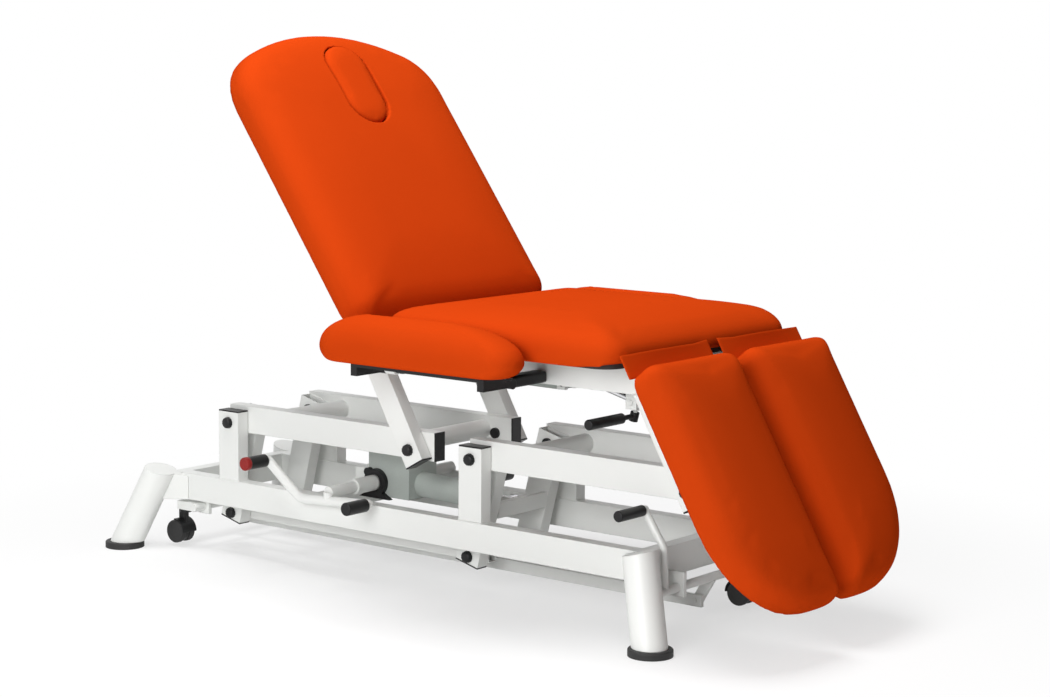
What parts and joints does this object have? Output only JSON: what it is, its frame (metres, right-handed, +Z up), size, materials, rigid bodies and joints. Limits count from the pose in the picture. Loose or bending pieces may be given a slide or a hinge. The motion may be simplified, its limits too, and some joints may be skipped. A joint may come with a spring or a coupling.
{
  "type": "treatment chair",
  "caption": "Height-adjustable treatment chair with a tilting back, split leg rests and fold-down armrests on a white tube base with a foot pump.",
  "frame": {"origin": "middle of the chair's bounding box at floor level", "axes": "+Z up, +X along the chair towards the foot end, -Y the pedal side"},
  "size_m": [1.7796, 0.824, 1.1535],
  "materials": {
    "white_coat": "satin",
    "black_plastic": "matte",
    "black_rubber": "matte",
    "pump_paint": "satin",
    "bright_steel": "polished",
    "board": "matte",
    "vinyl": "satin",
    "castor_tread": "matte"
  },
  "bodies": {
    "base": {"base_rails": "white_coat", "cross_beams": "white_coat", "corner_legs": "white_coat", "leg_boots": "black_rubber", "lift_posts": "white_coat", "base_trim": "black_plastic"},
    "head_arms": {"head_arm_frame": "white_coat", "head_arm_trim": "black_plastic"},
    "foot_arms": {"foot_arm_frame": "white_coat", "foot_arm_trim": "black_plastic", "ram_bracket": "white_coat"},
    "tie_bars": {"tie_bars": "white_coat"},
    "seat": {"seat_rails": "white_coat", "seat_cross_tubes": "white_coat", "lift_struts": "white_coat", "seat_brackets": "white_coat", "seat_trim": "black_plastic", "seat_board": "board", "seat_cushion": "vinyl"},
    "back": {"back_frame": "white_coat", "back_board": "board", "back_cushion": "vinyl"},
    "face_plug": {"face_plug": "vinyl"},
    "gas_cylinder": {"gas_cylinder": "pump_paint"},
    "gas_rod": {"gas_rod": "bright_steel"},
    "pump": {"pump_block": "pump_paint", "pump_cylinder": "pump_paint", "pump_ring": "black_plastic"},
    "ram_rod": {"piston_rod": "bright_steel"},
    "pedal": {"pedal_rocker": "white_coat", "pedal_grips": "black_plastic"},
    "foot_axle": {"foot_axle": "white_coat", "cam_grip": "black_plastic"},
    "head_axle": {"head_axle": "white_coat"},
    "link_bar": {"link_bar": "white_coat"},
    "near_leg": {"near_leg_frame": "white_coat", "near_leg_board": "board", "near_leg_cushion": "vinyl"},
    "near_clamp": {"near_rod_clamp": "white_coat"},
    "near_lock_rod": {"near_lock_rod": "bright_steel"},
    "near_handle": {"near_clamp_handle": "black_plastic"},
    "near_armrest": {"near_armrest_bracket": "white_coat", "near_armrest_pad": "vinyl"},
    "head_near_castor": {"head_near_castor_fork": "black_plastic"},
    "head_near_wheels": {"head_near_castor_wheels": "castor_tread"},
    "foot_near_castor": {"foot_near_castor_fork": "black_plastic"},
    "foot_near_wheels": {"foot_near_castor_wheels": "castor_tread"},
    "far_leg": {"far_leg_frame": "white_coat", "far_leg_board": "board", "far_leg_cushion": "vinyl"},
    "far_clamp": {"far_rod_clamp": "white_coat"},
    "far_lock_rod": {"far_lock_rod": "bright_steel"},
    "far_handle": {"far_clamp_handle": "black_plastic"},
    "far_armrest": {"far_armrest_bracket": "white_coat", "far_armrest_pad": "vinyl"},
    "head_far_castor": {"head_far_castor_fork": "black_plastic"},
    "head_far_wheels": {"head_far_castor_wheels": "castor_tread"},
    "foot_far_castor": {"foot_far_castor_fork": "black_plastic"},
    "foot_far_wheels": {"foot_far_castor_wheels": "castor_tread"}
  },
  "joints": [
    {"name": "lift", "type": "hinge", "parent": "base", "child": "foot_arms", "pos_m": [0.1017, 0, 0.3], "axis": [0, -1, 0], "range_deg": [0, 45]},
    {"name": "head_arm_lift", "type": "hinge", "parent": "base", "child": "head_arms", "pos_m": [-0.5943, 0, 0.3], "axis": [0, -1, 0], "range_deg": [0, 45]},
    {"name": "seat_level", "type": "hinge", "parent": "foot_arms", "child": "seat", "pos_m": [0.6317, 0, 0.3], "axis": [0, -1, 0], "range_deg": [-45, 0]},
    {"name": "tie_bar", "type": "hinge", "parent": "foot_arms", "child": "tie_bars", "pos_m": [0.04506, 0, 0.081], "axis": [0, -1, 0], "range_deg": [-45, 0]},
    {"name": "pump_tilt", "type": "hinge", "parent": "base", "child": "pump", "pos_m": [-0.3123, 0, 0.195], "axis": [0, -1, 0], "range_deg": [0, 1.24]},
    {"name": "ram_rod", "type": "hinge", "parent": "foot_arms", "child": "ram_rod", "pos_m": [0.07067, 0, 0.18], "axis": [0, -1, 0], "range_deg": [-43.76, 0]},
    {"name": "pedal", "type": "hinge", "parent": "pump", "child": "pedal", "pos_m": [-0.2663, 0, 0.19], "axis": [0, 1, 0], "range_deg": [-12, 12], "stiffness_Nm_per_rad": 60},
    {"name": "back_tilt", "type": "hinge", "parent": "seat", "child": "back", "pos_m": [-0.1087, 0, 0.5189], "axis": [0, 1, 0], "range_deg": [-54, 8]},
    {"name": "gas_cylinder", "type": "hinge", "parent": "seat", "child": "gas_cylinder", "pos_m": [0.2137, 0, 0.448], "axis": [0, 1, 0], "range_deg": [-2.26, 15.22]},
    {"name": "gas_rod", "type": "hinge", "parent": "back", "child": "gas_rod", "pos_m": [-0.05874, 0, 0.45013], "axis": [0, 1, 0], "range_deg": [-10.26, 69.22]},
    {"name": "face_plug", "type": "slide", "parent": "back", "child": "face_plug", "axis": [0.809, 0, 0.5878], "range_m": [0, 0.09]},
    {"name": "castor_lever", "type": "hinge", "parent": "base", "child": "foot_axle", "pos_m": [0.5687, 0, 0.096], "axis": [0, -1, 0], "range_deg": [0, 12]},
    {"name": "head_axle", "type": "hinge", "parent": "base", "child": "head_axle", "pos_m": [-0.6993, 0, 0.096], "axis": [0, -1, 0], "range_deg": [0, 12]},
    {"name": "link_bar", "type": "hinge", "parent": "foot_axle", "child": "link_bar", "pos_m": [0.5397, 0, 0.047], "axis": [0, -1, 0], "range_deg": [-12, 0]},
    {"name": "near_leg", "type": "hinge", "parent": "seat", "child": "near_leg", "pos_m": [0.5743, -0.112, 0.5184], "axis": [0, -1, 0], "range_deg": [0, 60]},
    {"name": "near_clamp", "type": "hinge", "parent": "seat", "child": "near_clamp", "pos_m": [0.4463, -0.076, 0.4424], "axis": [0, -1, 0], "range_deg": [0, 30]},
    {"name": "near_lock_rod", "type": "hinge", "parent": "near_leg", "child": "near_lock_rod", "pos_m": [0.64873, -0.076, 0.38948], "axis": [0, -1, 0], "range_deg": [-30, 0]},
    {"name": "near_handle", "type": "hinge", "parent": "near_clamp", "child": "near_handle", "pos_m": [0.43871, -0.076, 0.41337], "axis": [-0.2529, 0, -0.9675], "range_deg": [-30, 30]},
    {"name": "near_armrest", "type": "hinge", "parent": "seat", "child": "near_armrest", "pos_m": [0.1312, -0.298, 0.488], "axis": [1, 0, 0], "range_deg": [0, 85]},
    {"name": "head_near_castor_swivel", "type": "hinge", "parent": "head_axle", "child": "head_near_castor", "pos_m": [-0.7433, -0.165, 0.086], "axis": [0, 0, 1], "continuous": true},
    {"name": "head_near_wheel_spin", "type": "hinge", "parent": "head_near_castor", "child": "head_near_wheels", "pos_m": [-0.7603, -0.165, 0.034], "axis": [0, 1, 0], "continuous": true},
    {"name": "foot_near_castor_swivel", "type": "hinge", "parent": "foot_axle", "child": "foot_near_castor", "pos_m": [0.5247, -0.165, 0.086], "axis": [0, 0, 1], "continuous": true},
    {"name": "foot_near_wheel_spin", "type": "hinge", "parent": "foot_near_castor", "child": "foot_near_wheels", "pos_m": [0.5417, -0.165, 0.034], "axis": [0, 1, 0], "continuous": true},
    {"name": "far_leg", "type": "hinge", "parent": "seat", "child": "far_leg", "pos_m": [0.5743, 0.112, 0.5184], "axis": [0, -1, 0], "range_deg": [0, 60]},
    {"name": "far_clamp", "type": "hinge", "parent": "seat", "child": "far_clamp", "pos_m": [0.4463, 0.076, 0.4424], "axis": [0, -1, 0], "range_deg": [0, 30]},
    {"name": "far_lock_rod", "type": "hinge", "parent": "far_leg", "child": "far_lock_rod", "pos_m": [0.64873, 0.076, 0.38948], "axis": [0, -1, 0], "range_deg": [-30, 0]},
    {"name": "far_handle", "type": "hinge", "parent": "far_clamp", "child": "far_handle", "pos_m": [0.43871, 0.076, 0.41337], "axis": [-0.2529, 0, -0.9675], "range_deg": [-30, 30]},
    {"name": "far_armrest", "type": "hinge", "parent": "seat", "child": "far_armrest", "pos_m": [0.1312, 0.298, 0.488], "axis": [-1, 0, 0], "range_deg": [0, 85]},
    {"name": "head_far_castor_swivel", "type": "hinge", "parent": "head_axle", "child": "head_far_castor", "pos_m": [-0.7433, 0.165, 0.086], "axis": [0, 0, 1], "continuous": true},
    {"name": "head_far_wheel_spin", "type": "hinge", "parent": "head_far_castor", "child": "head_far_wheels", "pos_m": [-0.7603, 0.165, 0.034], "axis": [0, 1, 0], "continuous": true},
    {"name": "foot_far_castor_swivel", "type": "hinge", "parent": "foot_axle", "child": "foot_far_castor", "pos_m": [0.5247, 0.165, 0.086], "axis": [0, 0, 1], "continuous": true},
    {"name": "foot_far_wheel_spin", "type": "hinge", "parent": "foot_far_castor", "child": "foot_far_wheels", "pos_m": [0.5417, 0.165, 0.034], "axis": [0, 1, 0], "continuous": true}
  ],
  "couplings": [
    {"joint": "head_arm_lift", "follows": "lift", "ratio": 1},
    {"joint": "seat_level", "follows": "lift", "ratio": -1},
    {"joint": "tie_bar", "follows": "lift", "ratio": -1},
    {"joint": "pump_tilt", "follows": "lift", "ratio": 0.027547},
    {"joint": "ram_rod", "follows": "lift", "ratio": -0.97245},
    {"joint": "gas_cylinder", "follows": "back_tilt", "ratio": -0.28178},
    {"joint": "gas_rod", "follows": "back_tilt", "ratio": -1.2818},
    {"joint": "head_axle", "follows": "castor_lever", "ratio": 1},
    {"joint": "link_bar", "follows": "castor_lever", "ratio": -1},
    {"joint": "near_clamp", "follows": "near_leg", "ratio": 0.5},
    {"joint": "near_lock_rod", "follows": "near_leg", "ratio": -0.5},
    {"joint": "far_clamp", "follows": "far_leg", "ratio": 0.5},
    {"joint": "far_lock_rod", "follows": "far_leg", "ratio": -0.5}
  ]
}
